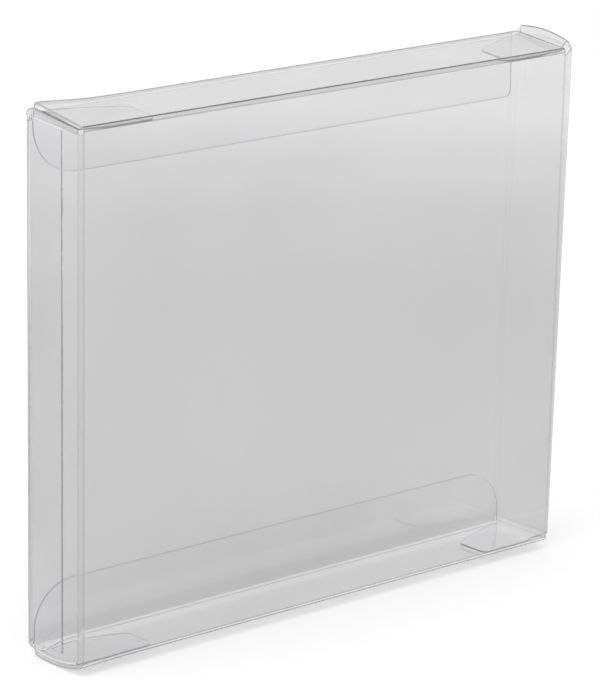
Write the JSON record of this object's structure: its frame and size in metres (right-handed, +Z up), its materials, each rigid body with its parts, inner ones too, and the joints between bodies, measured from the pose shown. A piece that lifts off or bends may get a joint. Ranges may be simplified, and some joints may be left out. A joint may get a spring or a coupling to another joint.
{
  "type": "game box protector",
  "caption": "Clear folding film box that sleeves a flat boxed game, with a glued side seam, dust flaps and a hinged tuck-in lid at each end.",
  "frame": {"origin": "on the surface that the box stands on, below the middle of the box", "axes": "+X along the width of the front panel, +Y from the front panel to the back panel, +Z up, from the bottom lid to the top lid"},
  "size_m": [0.136, 0.018, 0.1159],
  "materials": {
    "clear_film": "clear glossy polyester film"
  },
  "bodies": {
    "sleeve": {"sleeve": "clear_film"},
    "top_lid": {"top_lid": "clear_film"},
    "top_tuck_flap": {"top_tuck_flap": "clear_film"},
    "bottom_lid": {"bottom_lid": "clear_film"},
    "bottom_tuck_flap": {"bottom_tuck_flap": "clear_film"}
  },
  "joints": [
    {"name": "top_lid_hinge", "type": "hinge", "parent": "sleeve", "child": "top_lid", "pos_m": [0, -0.00857, 0.11457], "axis": [1, 0, 0], "range_deg": [-3.5, 100]},
    {"name": "top_tuck_fold", "type": "hinge", "parent": "top_lid", "child": "top_tuck_flap", "pos_m": [0, 0.00754, 0.11555], "axis": [1, 0, 0], "range_deg": [-68.5, 3]},
    {"name": "bottom_lid_hinge", "type": "hinge", "parent": "sleeve", "child": "bottom_lid", "pos_m": [0, -0.00857, 0.00043], "axis": [-1, 0, 0], "range_deg": [0, 100]},
    {"name": "bottom_tuck_fold", "type": "hinge", "parent": "bottom_lid", "child": "bottom_tuck_flap", "pos_m": [0, 0.00757, 0.00043], "axis": [-1, 0, 0], "range_deg": [-74.5, 1]}
  ],
  "couplings": [
    {"joint": "top_tuck_fold", "follows": "top_lid_hinge", "ratio": -0.68},
    {"joint": "bottom_tuck_fold", "follows": "bottom_lid_hinge", "ratio": -0.74}
  ]
}
